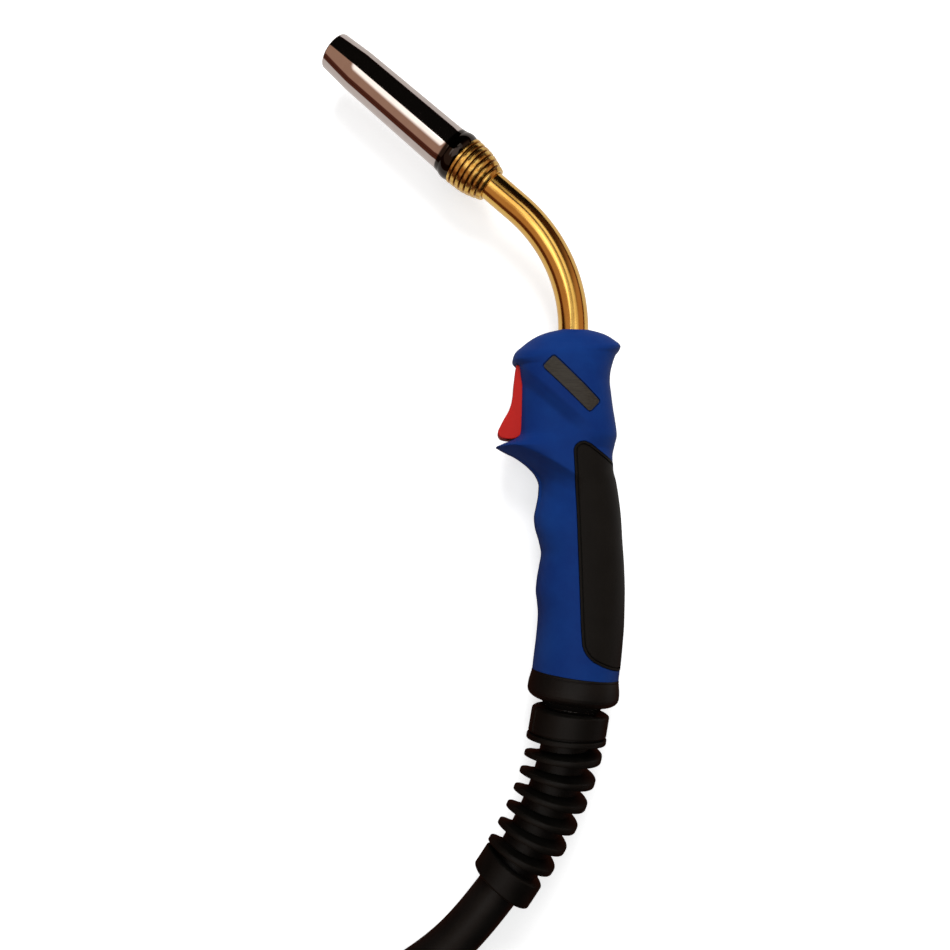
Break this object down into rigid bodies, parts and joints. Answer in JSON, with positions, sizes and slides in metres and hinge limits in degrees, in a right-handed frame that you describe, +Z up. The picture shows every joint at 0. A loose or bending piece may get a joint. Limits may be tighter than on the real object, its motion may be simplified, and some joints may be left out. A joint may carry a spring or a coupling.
{
  "type": "MIG welding torch",
  "caption": "Hand-held MIG welding torch: plated nozzle, bent neck, blue handle with red trigger, ball joint, ribbed boot and coiled lead with plug.",
  "frame": {"origin": "bottom centre of the torch without its lead, as it lies on its side", "axes": "+Y from the boot to the neck along the handle, +X from the trigger to the back of the handle, +Z up from the bench"},
  "size_m": [0.2642, 0.8466, 0.046],
  "materials": {
    "nozzle_chrome": "polished plating",
    "polished_brass": "polished",
    "bare_brass": "turned",
    "tip_copper": "turned copper",
    "cable_copper": "stranded copper",
    "bare_steel": "zinc plated",
    "white_ceramic": "unglazed",
    "insulation_plastic": "natural",
    "blue_plastic": "moulded",
    "red_plastic": "moulded",
    "grey_plate": "satin",
    "black_plastic": "moulded",
    "ball_plastic": "polished",
    "grip_rubber": "soft, matt",
    "boot_rubber": "moulded, satin",
    "cable_rubber": "extruded, satin",
    "seal_rubber": "smooth"
  },
  "bodies": {
    "torch": {"nozzle_spring": "bare_steel", "contact_tip": "tip_copper", "tip_holder": "bare_brass", "gas_diffuser": "white_ceramic", "neck_head": "bare_brass", "neck_jacket": "polished_brass", "neck_insulation": "insulation_plastic", "neck_core_tube": "tip_copper", "wire_liner": "bare_steel", "union_nut": "bare_brass", "union_block": "bare_brass", "crimp_sleeve": "tip_copper", "cable_core": "cable_copper", "handle_shell_near": "blue_plastic", "handle_shell_far": "blue_plastic", "handle_screws": "bare_steel", "name_plate_near": "grey_plate", "name_plate_far": "grey_plate", "grip_pad_near": "grip_rubber", "grip_pad_far": "grip_rubber", "trigger_pin": "bare_steel", "switch_case": "black_plastic", "switch_wires": "black_plastic", "collar_ring": "black_plastic"},
    "nozzle": {"gas_nozzle": "nozzle_chrome", "nozzle_insulator": "insulation_plastic"},
    "trigger": {"trigger": "red_plastic"},
    "plunger": {"switch_plunger": "red_plastic"},
    "lead": {"ball": "ball_plastic", "boot": "boot_rubber", "cable_in_boot": "cable_rubber", "cable": "cable_rubber", "cable_coil": "cable_rubber", "cable_tail": "cable_rubber", "plug_cable_end": "cable_rubber", "plug_boot": "boot_rubber", "plug_shell_left": "black_plastic", "plug_shell_right": "black_plastic", "plug_screws": "bare_steel", "plug_body": "bare_brass", "plug_flange": "ball_plastic", "gas_tube": "bare_brass", "seal_ring": "seal_rubber", "control_barrels": "bare_brass"},
    "plug_nut": {"hand_nut": "black_plastic"},
    "control_pin_left": {"control_pin_left": "bare_brass"},
    "control_pin_right": {"control_pin_right": "bare_brass"}
  },
  "joints": [
    {"name": "nozzle_slide", "type": "slide", "parent": "torch", "child": "nozzle", "axis": [-0.766, 0.6428, 0], "range_m": [0, 0.09]},
    {"name": "trigger_pivot", "type": "hinge", "parent": "torch", "child": "trigger", "pos_m": [0.03017, 0.03877, 0.0213], "axis": [0, 0, 1], "range_deg": [0, 5.5], "stiffness_Nm_per_rad": 0.8, "springref_deg": -2.86},
    {"name": "plunger_slide", "type": "slide", "parent": "torch", "child": "plunger", "axis": [1, 0, 0], "range_m": [0, 0.0022]},
    {"name": "ball_swivel", "type": "hinge", "parent": "torch", "child": "lead", "pos_m": [0.0531, -0.10676, 0.0213], "axis": [0, 0, 1], "range_deg": [-10, 10]},
    {"name": "plug_nut_turn", "type": "hinge", "parent": "lead", "child": "plug_nut", "pos_m": [-0.12628, -0.59393, 0.023], "axis": [0, -1, 0], "continuous": true},
    {"name": "control_pin_left_slide", "type": "slide", "parent": "lead", "child": "control_pin_left", "axis": [0, 1, 0], "range_m": [0, 0.003], "stiffness_N_per_m": 400, "springref_m": -0.002},
    {"name": "control_pin_right_slide", "type": "slide", "parent": "lead", "child": "control_pin_right", "axis": [0, 1, 0], "range_m": [0, 0.003], "stiffness_N_per_m": 400, "springref_m": -0.002}
  ],
  "couplings": [
    {"joint": "plunger_slide", "follows": "trigger_pivot", "m_per_rad": 0.0193}
  ]
}
